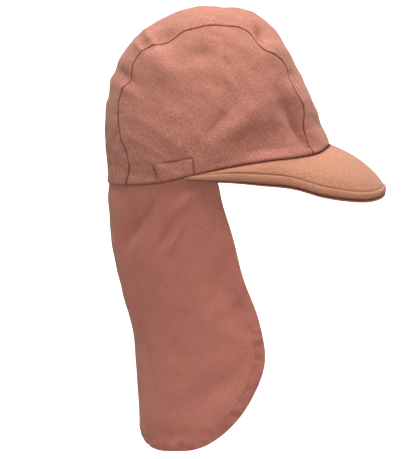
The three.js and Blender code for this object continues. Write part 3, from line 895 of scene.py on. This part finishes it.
def peak_profile(across, edge, thick, side):
    """(outer face, inner face, painted shade) of a cover, with a welt outside the topstitching and painted
    shade in its groove.
    """
    padded = np.clip(thick / PEAK_THICK, PAD_THIN, 1)
    welt = welt_width(thick)
    inner = SEAM_GAP / 2 + PEAK_LIP * padded * (1 - np.clip(edge / LIP_DEEP, 0, 1)) ** 2
    round_edge = np.sqrt(1 - (1 - np.clip(edge / PEAK_ROUND[side], 0, 1)) ** 2)
    stitched = np.clip(STITCHED_GROWTH * padded - STITCHED_FROM, 0, 1)
    groove = (GROOVE_DEEP + GROOVE_UPPER * side) * stitched * bell(edge - welt, GROOVE_WIDE)
    hollow = step_up(edge - welt, *HOLLOW_IN) * (1 - step_up(edge - welt, *HOLLOW_OUT))
    half = thick / 2 - side * peak_parting(edge, thick)
    full = half * (1 - HOLLOW_DEEP * hollow) + PEAK_PUFF * bell(edge - welt / 2, welt / 3)
    puckers = ripple(across * PUCKER_SPAN, PUCKER_SIZE, PUCKER_PITCH, PUCKER_SEED + side)
    full += puckers * bell(edge - welt, PUCKER_WIDE)
    full = inner + (full - inner - groove) * round_edge
    # Painted shade in the topstitched groove.
    painted_shade = GROOVE_SHADE * stitched * bell(edge - welt, GROOVE_SHADE_WIDE)
    return np.maximum(full, inner), inner, painted_shade


PEAK_ACROSS, PEAK_OUT = (250, 330), (60, 60, (0, 0.08, 0.2, 0.4, 0.65, 1, 1.5, 2.2, 3))
SILL_REACH, PEAK_EDGE_SHADE, PEAK_SEAM_SHADE, GRAIN_OUT = 2, 0.6, 1.0, 60


def peak_cover(name, side, material):
    across = (2 * finer_at_ends(*PEAK_ACROSS) - 1)[None, :]
    outward = 1 - finer_at_ends(*PEAK_OUT)[:, None]
    across, outward = np.broadcast_arrays(across, outward)
    middle, up, thick, edge = peak_place(across, outward)
    full, inside, painted_shade = peak_profile(across, edge, thick, side)
    middle = middle + up * peak_parting(edge, thick)[..., None]
    if side < 0:
        sill = PEAK_SILL * np.exp(-edge / SILL_REACH)
        middle = middle + unit(middle[0] - middle[-1]) * sill[..., None]
    outer = middle + up * (side * full)[..., None]
    inner = middle + up * (side * inside)[..., None]
    from_seam = outward * np.linalg.norm(middle[0] - middle[-1], axis=-1)
    # Painted shade along the seam to the crown, and on the upper cover along its free edge where the covers
    # meet.
    shade = np.maximum(painted_shade, bell(from_seam, PEAK_SEAM_SHADE))
    if side > 0:
        shade = np.maximum(shade, bell(edge, PEAK_EDGE_SHADE))
    grain = np.stack([middle[..., 1], outward * GRAIN_OUT], -1)
    return wall_object(name, outer, inner, grain, shade, material)


LEFT_FROM, LEFT_DOWN = 0.6, 0.2  # where the left edge begins to hang further back


def flap_point(around, level):
    back = tucked(round_rim(180, 0)) - crown_normal(round_rim(180, 0)) * FLAP_SET
    rim = round_rim(180 - around * (180 - FLAP_END), 0)
    top = tucked(rim) - crown_normal(rim) * FLAP_SET
    value = {c: smooth(FLAP, "level", c, level) for c in ("forward", "depth", "width")}
    x = back[0] + value["forward"] * CROWN_LENGTH + (top[..., 0] - back[0]) * value["depth"]
    x = x - LEFT_BACK * step_up(around, LEFT_FROM, 1) * step_up(level, 0, LEFT_DOWN)
    z = top[..., 2] - SEAM_GAP - level * FLAP_LENGTH
    return np.stack([x, top[..., 1] * value["width"], z], -1)


def flap_normal(around, level):
    along = flap_point(around + ACROSS_STEP, level) - flap_point(around - ACROSS_STEP, level)
    down = flap_point(around, level + ACROSS_STEP) - flap_point(around, level)
    return unit(np.cross(along, down))


def flap_hem(u):
    """(place round the flap, level of its lower edge) on the columns that u gives."""
    half = 2 * u - 1
    plain = 1 - CORNER_ACROSS
    turn = np.radians(90 * np.clip((np.abs(half) - plain) / CORNER_ACROSS, 0, 1))
    out = np.minimum(np.abs(half), plain) + CORNER_ACROSS * np.sin(turn)
    lift = LIFT_RISE * (1 - step_up(out, 0, LIFT_REACH))
    return np.sign(half) * out, 1 - CORNER_UP * (1 - np.cos(turn)) - lift


def flap_edge_points(count=700, front_count=160):
    """The flap's free edge, down one front, round the hem and up the other."""
    u = np.linspace(0, 1, count)
    around, hem = flap_hem(u)
    level = np.linspace(0, hem[0], front_count)[:-1]
    right = flap_point(np.full(level.shape, around[0]), level)
    left = flap_point(np.full(level.shape, around[-1]), level[::-1])
    return np.concatenate([right, flap_point(around, hem), left])


FLAP_EDGE = Line(flap_edge_points())


HEM_IN, HEM_OUT = -0.6, 1.2  # over which the hem's second layer begins
HEM_LOW, HEM_FRONT = (0.45, 0.7), 0.2  # the hem is uneven low down, and less so up its fronts
HEM_LUMPS, HEM_RIPPLE = (0.5, 11, 72), (0.24, 8, 71)
LUMP_MIDDLE, LUMP_WIDE = 0.5, 0.75  # in hem widths from the edge
CURL, CURL_LOW, CURL_POWER = 0.8, 0.8, 1.6
HEM_GROOVE, HEM_GROOVE_WIDE = 0.2, 0.7


def hem_relief(edge, along, level, p):
    """How the hem stands out: uneven, a little puckered and curling in at the edge."""
    band = step_up(HEM - edge, HEM_IN, HEM_OUT)
    low = HEM_FRONT + (1 - HEM_FRONT) * step_up(level, *HEM_LOW)
    uneven = relief(p, *HEM_LUMPS) + ripple(along, *HEM_RIPPLE)
    uneven = low * uneven * bell(edge - LUMP_MIDDLE * HEM, LUMP_WIDE * HEM)
    curl = -(CURL + CURL_LOW * low) * band * (1 - np.clip(edge / HEM, 0, 1)) ** CURL_POWER
    return uneven + curl - HEM_GROOVE * low * bell(edge - HEM, HEM_GROOVE_WIDE)


FLAP_RELIEF = ((0.3, 60, 61), (0.14, 20, 62))  # size, scale, seed
TOP_PUCKERS, TOP_REACH, TOP_SMOOTH = (0.22, 8, 73), 9, 2
OUT_REACH, OUT_UNTIL = 12, (0.62, 0.76)  # how far down and how far round its top comes out


def flap_push(around, level, p):
    """(how far the flap's cloth stands out, distance from its free edge)."""
    edge, along = FLAP_EDGE.near(p)
    down = level * FLAP_LENGTH
    push = FLAP_FOLD * fold_sum(
        FLAP_FOLDS,
        lambda f: -(around - f["around"]) * FLAP_ROUND,
        lambda f: -(level - f["level"]) * FLAP_LENGTH,
    )
    for part in FLAP_RELIEF:
        push = push + relief(p, *part)
    push = push * step_up(level, 0, FLAP_FREE) + hem_relief(edge, along, level, p)
    puckers = ripple(around * FLAP_ROUND, *TOP_PUCKERS) * np.exp(-down / TOP_REACH)
    push += puckers * step_up(down, 0, TOP_SMOOTH)
    push += FLAP_OUT * np.exp(-down / OUT_REACH) * (1 - step_up(np.abs(around), *OUT_UNTIL))
    return push, edge


TOP_SHADE, TOP_SHADE_WIDE = 0.5, 0.8
HEM_SHADE, HEM_SHADE_WIDE, HEM_SHADE_LOW = 0.16, 0.7, (0.45, 0.8)
PATCHES, PATCH_SHADE, PATCH_LOW = (1, 14, 74), 0.22, (0.5, 0.7)


def flap_painted_shade(level, edge, p):
    """How much painted shade darkens the flap's cloth: painted shadow along its top under the rim, and
    painted shade along its hem and in patches of the hem.
    """
    top = TOP_SHADE * bell(level * FLAP_LENGTH, TOP_SHADE_WIDE)
    line = HEM_SHADE * bell(edge - HEM, HEM_SHADE_WIDE) * step_up(level, *HEM_SHADE_LOW)
    patches = np.clip(relief(p, *PATCHES), 0, 1) * step_up(level, *PATCH_LOW)
    return np.clip(top + line + PATCH_SHADE * patches * step_up(HEM - edge, -1, 1), 0, 1)


FLAP_ACROSS, FLAP_DOWN = (200, 420), (140, FLAP_LENGTH)
HEM_LAYER, HEM_LAYER_EDGE, HEM_LAYER_FROM = 0.7, 0.8, 0.3


def neck_flap(name, material):
    u = finer_at_ends(*FLAP_ACROSS)
    v = finer_at_ends(*FLAP_DOWN)[:, None]
    around, hem = flap_hem(u)
    around, level = np.broadcast_arrays(around, v * hem)
    p = flap_point(around, level)
    normal = flap_normal(around, level)
    push, edge = flap_push(around, level, p)
    half = closed_border(rounded(edge, FLAP_WALL))
    folded = step_up(HEM - edge, -HEM_LAYER_FROM, HEM_LAYER_FROM) * np.clip(edge / HEM_LAYER_EDGE, 0, 1)
    outer = p + normal * (push + half - FLAP_WALL / 2)[..., None]
    inner = p + normal * (push - half - FLAP_WALL / 2 - HEM_LAYER * folded)[..., None]
    grain = np.stack([around * FLAP_ROUND, -level * FLAP_LENGTH], -1)
    return wall_object(name, outer, inner, grain, flap_painted_shade(level, edge, p), material)


STITCH_SIDES, TANGENT_STEP = 6, 0.2
STITCH_SHAPE = table(  # a share of its length, of its thickness, and how far it stands out
    "at thick out",
    (-0.5, 0.35, -1.1),
    (-0.42, 0.8, -0.25),
    (-0.22, 1, 0.45),
    (0.22, 1, 0.45),
    (0.42, 0.8, -0.25),
    (0.5, 0.35, -1.1),
)


def stitch_faces(count, rings):
    """Faces of closed tubes that each have some rings of points."""
    sides = STITCH_SIDES
    faces = []
    for base in range(0, count * rings * sides, rings * sides):
        for r in range(rings - 1):
            for k in range(sides):
                a, b = base + r * sides + k, base + r * sides + (k + 1) % sides
                faces.append([a, b, b + sides, a + sides])
        faces.append([base + k for k in range(sides)][::-1])
        faces.append([base + (rings - 1) * sides + k for k in range(sides)])
    return faces


def stitches(name, points, normals, material):
    """A row of sewn stitches along a line of points, as one mesh."""
    length = along_line(points)
    count = int(length[-1] / STITCH_PITCH)
    middle = (np.arange(count) + 0.5) * length[-1] / count

    def on(line, at):
        return np.stack([np.interp(at, length, line[:, k]) for k in range(3)], -1)

    at = middle[:, None] + STITCH_SHAPE["at"] * STITCH
    normal = unit(on(normals, at))
    tangent = unit(on(points, at + TANGENT_STEP) - on(points, at - TANGENT_STEP))
    across = unit(np.cross(tangent, normal))
    centre = on(points, at) + normal * (STITCH_SHAPE["out"] * THREAD)[:, None]
    turn = np.arange(STITCH_SIDES) * 2 * np.pi / STITCH_SIDES
    ring = normal[:, :, None] * np.cos(turn)[:, None] + across[:, :, None] * np.sin(turn)[:, None]
    ring = ring * (STITCH_SHAPE["thick"] * THREAD)[:, None, None]
    verts = (centre[:, :, None] + ring).reshape(-1, 3)
    faces = stitch_faces(count, len(STITCH_SHAPE["at"]))
    return mesh_object(name, verts, faces, material, np.zeros((len(verts), 3)), np.zeros(len(verts)))


def crown_line(angle, height):
    """(points, directions) of a line on the crown's outer face."""
    points, normal, _ = crown_place(round_rim(angle, height), 0)
    return points, normal


def casing_stitches(material, count=400, end_count=40):
    round_nape = np.linspace(CASING_END, 360 - CASING_END, count)
    top = casing_top(round_rim(round_nape, CASING_HEIGHT)[:, 0])
    rows = [stitches("casing_stitches_top", *crown_line(round_nape, top), material)]
    height = np.linspace(1, CASING_HEIGHT - CASING_STEP, end_count)
    end = CASING_END - np.degrees(casing_end_lean(height) / HALF_WIDTH)
    for name, side in (("left", 1), ("right", -1)):
        rows.append(stitches(f"casing_stitches_{name}", *crown_line(side * end, height), material))
    return rows


TOPSTITCH_END = 0.86  # as a share of the way to each end of the peak


def peak_stitches(name, side, material, count=500):
    across = np.linspace(-TOPSTITCH_END, TOPSTITCH_END, count)
    _, _, thick, _ = peak_place(across, np.zeros(across.shape))
    middle, up, thick, edge = peak_place(across, peak_inset(across, welt_width(thick)))
    full, _, _ = peak_profile(across, edge, thick, side)
    line = middle + up * (peak_parting(edge, thick) + side * full)[:, None]
    return stitches(name, line, side * up, material)


HEM_LINE_TOP, HEM_LINE_FREE, HEM_LINE_TURN = 0.03, 4, 0.9
HEM_STITCH_IN, HEM_STITCH_OUT = 0.1, 0.25  # how deep the outer stitches lie, and how far out the inner


def hem_line(outside_face, count=900, front_count=120):
    """(points, directions) of the hem's stitch line, on the flap's outer or inner face."""
    around, hem = flap_hem(np.linspace(0, 1, count))
    level = np.linspace(HEM_LINE_TOP, hem[0], front_count)[:-1]
    a = np.concatenate([np.full(level.shape, around[0]), around, np.full(level.shape, around[-1])])
    b = np.concatenate([level, hem, level[::-1]])
    flat = np.stack([a * FLAP_ROUND, b * FLAP_LENGTH], -1)
    tangent = np.gradient(flat, axis=0)
    line = flat + unit(np.stack([tangent[:, 1], -tangent[:, 0]], -1)) * HEM
    inside = np.abs(line[:, 0]) < FLAP_ROUND - HEM * HEM_LINE_TURN
    line = line[(line[:, 1] > HEM_LINE_FREE) & inside]
    a, b = line[:, 0] / FLAP_ROUND, line[:, 1] / FLAP_LENGTH
    p = flap_point(a, b)
    normal = flap_normal(a, b)
    push, _ = flap_push(a, b, p)
    if outside_face:
        return p + normal * (push - HEM_STITCH_IN)[:, None], normal
    return p + normal * (push - FLAP_WALL - HEM_STITCH_OUT)[:, None], -normal


def node(tree, kind, inputs=(), **settings):
    """A shader node with some inputs set or linked."""
    made = tree.nodes.new(kind)
    for key, value in settings.items():
        setattr(made, key, value)
    for key, value in dict(inputs).items():
        if isinstance(value, bpy.types.NodeSocket):
            tree.links.new(value, made.inputs[key])
        else:
            made.inputs[key].default_value = value
    return made


def math_node(tree, operation, a, b=0.0):
    return node(tree, "ShaderNodeMath", {0: a, 1: b}, operation=operation).outputs[0]


def noise(tree, vector, scale, detail=2.0, rough=0.5):
    inputs = {"Vector": vector, "Scale": scale, "Detail": detail, "Roughness": rough}
    return node(tree, "ShaderNodeTexNoise", inputs).outputs["Fac"]


def stretched(tree, vector, along, across):
    """The grain's place, stretched along one set of threads."""
    inputs = {"Vector": vector, "Scale": (along, across, 1)}
    return node(tree, "ShaderNodeMapping", inputs, vector_type="POINT").outputs[0]


def multiply_add(tree, value, factor, plus):
    return node(tree, "ShaderNodeMath", {0: value, 1: factor, 2: plus}, operation="MULTIPLY_ADD").outputs[0]


def mix_colour(tree, factor, a, b, blend="MIX"):
    """A colour mix. a is a colour or a link, and so is b."""
    made = node(tree, "ShaderNodeMix", {"Factor": factor}, data_type="RGBA", blend_type=blend)
    for index, value in ((6, a), (7, b)):
        if isinstance(value, bpy.types.NodeSocket):
            tree.links.new(value, made.inputs[index])
        else:
            made.inputs[index].default_value = (*value, 1)
    return made.outputs[2]


# Cotton: its threads, slubs, specks, clouds and dye, and painted shade. Scales are in waves a metre.
THREAD_PITCH, SEWING_PITCH = 0.00062, 0.0003
WANDER_SCALE, WANDER_TURNS = 260.0, 4.0
THREADS_MEAN = 1.5  # of the sum that slubs gives
SLUB_LONG, SLUB_WIDE, SPECK_SCALE = 330.0, 1500.0, 1300.0
SPECK_DETAIL, FUZZ = 1.0, 0.6
CLOUD_SCALE, CLOUD_DETAIL, CLOUD_FUZZ = 70.0, 5.0, 0.65
CLOUD_SHADE, WEAVE_SHADE = (0.3, 0.86), (0.04, 1.0)  # each a factor and what is added
DYE_SCALE, DYE_SHADE = 42.0, (3.0, -1.0)
# PINK and TAN are the dye's uneven tones; the third is the dark colour of the painted shade.
PINK, TAN, SHADE_TINT = (1, 0.985, 1.01), (1, 1.015, 0.97), (0.2, 0.03, 0.02)  # times the cloth's colour
WEAVE_HEIGHT, THREAD_HEIGHT, BUMP, BUMP_DEEP = 0.5, 1.2, 0.55, 0.00022
ROUGH = (0.12, 0.68)
SPECULAR, SHEEN, SHEEN_ROUGH, SHEEN_TINT = 0.15, 0.3, 0.45, (1.0, 0.74, 0.6, 1)


def slubs(tree, grain):
    """Thick and thin places of both sets of threads, with specks, in one sum."""
    total = noise(tree, grain, SPECK_SCALE, SPECK_DETAIL, FUZZ)
    for stretch in ((SLUB_LONG, SLUB_WIDE), (SLUB_WIDE, SLUB_LONG)):
        long_noise = noise(tree, stretched(tree, grain, *stretch), scale=1.0, rough=FUZZ)
        total = math_node(tree, "ADD", total, long_noise)
    return total


def tinted(colour, tint):
    return tuple(c * t for c, t in zip(colour, tint))


def cotton(name, colour, heather=1.0, thread_pitch=THREAD_PITCH):
    """Matte plain-weave cotton with uneven threads, and painted shade that darkens its colour in creases,
    grooves and under the rim.
    """
    material = bpy.data.materials.new(name)
    material.use_nodes = True
    tree = material.node_tree
    tree.nodes.clear()
    grain = node(tree, "ShaderNodeAttribute", attribute_name="grain").outputs["Vector"]
    painted_shade = node(tree, "ShaderNodeAttribute", attribute_name="painted_shade").outputs["Fac"]
    parts = node(tree, "ShaderNodeSeparateXYZ", {0: grain})
    turns = 2 * math.pi / thread_pitch
    wander = math_node(tree, "MULTIPLY", noise(tree, grain, WANDER_SCALE), WANDER_TURNS)
    warp = math_node(tree, "SINE", multiply_add(tree, parts.outputs[0], turns, wander))
    weft = math_node(tree, "SINE", multiply_add(tree, parts.outputs[1], turns, wander))
    weave = math_node(tree, "MULTIPLY", warp, weft)
    threads = slubs(tree, grain)
    spot = node(tree, "ShaderNodeTexCoord").outputs["Object"]
    clouds = noise(tree, spot, CLOUD_SCALE, CLOUD_DETAIL, CLOUD_FUZZ)
    shade = multiply_add(tree, threads, heather, 1 - THREADS_MEAN * heather)
    shade = math_node(tree, "MULTIPLY", shade, multiply_add(tree, clouds, *CLOUD_SHADE))
    shade = math_node(tree, "MULTIPLY", shade, multiply_add(tree, weave, *WEAVE_SHADE))
    grey = node(tree, "ShaderNodeCombineColor", {0: shade, 1: shade, 2: shade}).outputs[0]
    dye = multiply_add(tree, noise(tree, spot, DYE_SCALE), *DYE_SHADE)
    dye = node(tree, "ShaderNodeClamp", {0: dye}).outputs[0]
    dyed = mix_colour(tree, dye, tinted(colour, PINK), tinted(colour, TAN))
    plain = mix_colour(tree, 1.0, dyed, grey, "MULTIPLY")
    # Painted shade: the colour goes towards the dark tint where the mesh's attribute marks creases, grooves
    # and the rim as in shadow.
    with_painted_shade = mix_colour(tree, painted_shade, plain, tinted(colour, SHADE_TINT))
    height = multiply_add(tree, weave, WEAVE_HEIGHT, math_node(tree, "MULTIPLY", threads, THREAD_HEIGHT))
    bump = node(tree, "ShaderNodeBump", {"Strength": BUMP, "Distance": BUMP_DEEP, "Height": height})
    rough = multiply_add(tree, threads, *ROUGH)
    inputs = {"Base Color": with_painted_shade, "Roughness": rough, "Normal": bump.outputs[0]}
    shader = node(tree, "ShaderNodeBsdfPrincipled", inputs)
    shader.inputs["Specular IOR Level"].default_value = SPECULAR
    shader.inputs["Sheen Weight"].default_value = SHEEN
    shader.inputs["Sheen Roughness"].default_value = SHEEN_ROUGH
    shader.inputs["Sheen Tint"].default_value = SHEEN_TINT
    node(tree, "ShaderNodeOutputMaterial", {"Surface": shader.outputs[0]})
    return material


def stage_material(name, glow):
    """Matte white that also glows a little by itself, as a lit studio wall does."""
    material = bpy.data.materials.new(name)
    material.use_nodes = True
    shader = material.node_tree.nodes["Principled BSDF"]
    shader.inputs["Base Color"].default_value = STAGE_WHITE
    shader.inputs["Roughness"].default_value = 1.0
    shader.inputs["Specular IOR Level"].default_value = 0.0
    shader.inputs["Emission Color"].default_value = (1, 1, 1, 1)
    shader.inputs["Emission Strength"].default_value = glow
    return material


def stage_plane(name, corners, glow):
    mesh = bpy.data.meshes.new(name)
    mesh.from_pydata(corners, [], [(0, 1, 2, 3)])
    mesh.materials.append(stage_material(name, glow))
    plane = bpy.data.objects.new(name, mesh)
    bpy.context.scene.collection.objects.link(plane)
    return plane


def studio():
    """A pale floor, white walls far round the cap and soft light from above."""
    half, low = FLOOR_HALF, FLOOR
    corners = [(-half, -half, low), (half, -half, low), (half, half, low), (-half, half, low)]
    stage_plane("floor", corners, FLOOR_GLOW)
    far, top = WALL_AWAY, WALL_TOP
    corners = [(-far, far, low), (far, far, low), (far, far, top), (-far, far, top)]
    for quarter in range(4):
        turn = Matrix.Rotation(quarter * math.pi / 2, 3, "Z")
        wall = stage_plane(f"backdrop_{quarter}", [turn @ Vector(c) for c in corners], WALL_GLOW)
        wall.visible_diffuse = wall.visible_glossy = wall.visible_shadow = False
    world = bpy.data.worlds.new("studio")
    world.use_nodes = True
    world.node_tree.nodes["Background"].inputs["Color"].default_value = FILL_COLOUR
    world.node_tree.nodes["Background"].inputs["Strength"].default_value = FILL
    bpy.context.scene.world = world
    for light in LIGHTS:
        area_light(*light)


def area_light(name, place, size, power, colour):
    light = bpy.data.lights.new(name, "AREA")
    light.shape = "DISK"
    light.size = size
    light.energy = power
    light.color = colour
    obj = bpy.data.objects.new(name, light)
    obj.location = place
    obj.rotation_euler = (-Vector(place)).to_track_quat("-Z", "Y").to_euler()
    bpy.context.scene.collection.objects.link(obj)


def camera():
    """A long lens that looks a little down at the cap's right side."""
    elevation = math.radians(CAMERA_UP)
    ahead = Vector((0, math.cos(elevation), -math.sin(elevation)))
    up = Vector((0, math.sin(elevation), math.cos(elevation)))
    target = Vector((-AIM_BACK * PIXEL, 0, 0)) - up * (AIM_DOWN * PIXEL)
    data = bpy.data.cameras.new("camera")
    data.sensor_fit = "VERTICAL"
    data.sensor_height = SENSOR
    data.lens = SENSOR * CAMERA_AWAY / (PICTURE_HEIGHT * PIXEL)
    data.clip_end = CLIP_END
    obj = bpy.data.objects.new("camera", data)
    obj.location = target - ahead * CAMERA_AWAY
    obj.rotation_euler = ahead.to_track_quat("-Z", "Y").to_euler()
    bpy.context.scene.collection.objects.link(obj)
    bpy.context.scene.camera = obj


camera()
studio()
bpy.context.scene.view_settings.view_transform = "Standard"

# These are copies of one cotton: the peak's is lighter and more tan, the flap's lighter and the casing's
# darker, as painted light and shade for how each part is lit.
crown_cloth = cotton("crown_cloth", (0.46, 0.177, 0.127), heather=1.05)
peak_cloth = cotton("peak_cloth", (0.515, 0.222, 0.139), heather=0.85)
flap_cloth = cotton("flap_cloth", (0.52, 0.18, 0.136), heather=0.42)
casing_cloth = cotton("casing_cloth", (0.42, 0.15, 0.11), heather=0.5)
thread = cotton("thread", (0.5, 0.19, 0.135), heather=0.5, thread_pitch=SEWING_PITCH)


def add(obj, slot, *nodes):
    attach(obj, "root")
    if nodes:
        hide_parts(*nodes)
    return obj


for name, side in (("right", -1), ("left", 1)):
    panel = add(crown_side(f"side_{name}", side, crown_cloth), "crown_cloth", f"crown_side_{name}")
strip = add(crown_strip("centre_strip", crown_cloth), "crown_cloth", "crown_centre_strip")
band = add(casing("nape_casing", casing_cloth), "casing_cloth", "elastic_casing")
for name, side in (("upper", 1), ("lower", -1)):
    cover = add(peak_cover(f"peak_cover_{name}", side, peak_cloth), "peak_cloth", f"peak_{name}")
    add(peak_stitches(f"peak_stitches_{name}", side, thread), "thread")
flap = add(neck_flap("flap", flap_cloth), "flap_cloth", "neck_flap")
for row in casing_stitches(thread):
    add(row, "thread")
for name, outside_face in (("outer", True), ("inner", False)):
    add(stitches(f"hem_stitches_{name}", *hem_line(outside_face), thread), "thread")
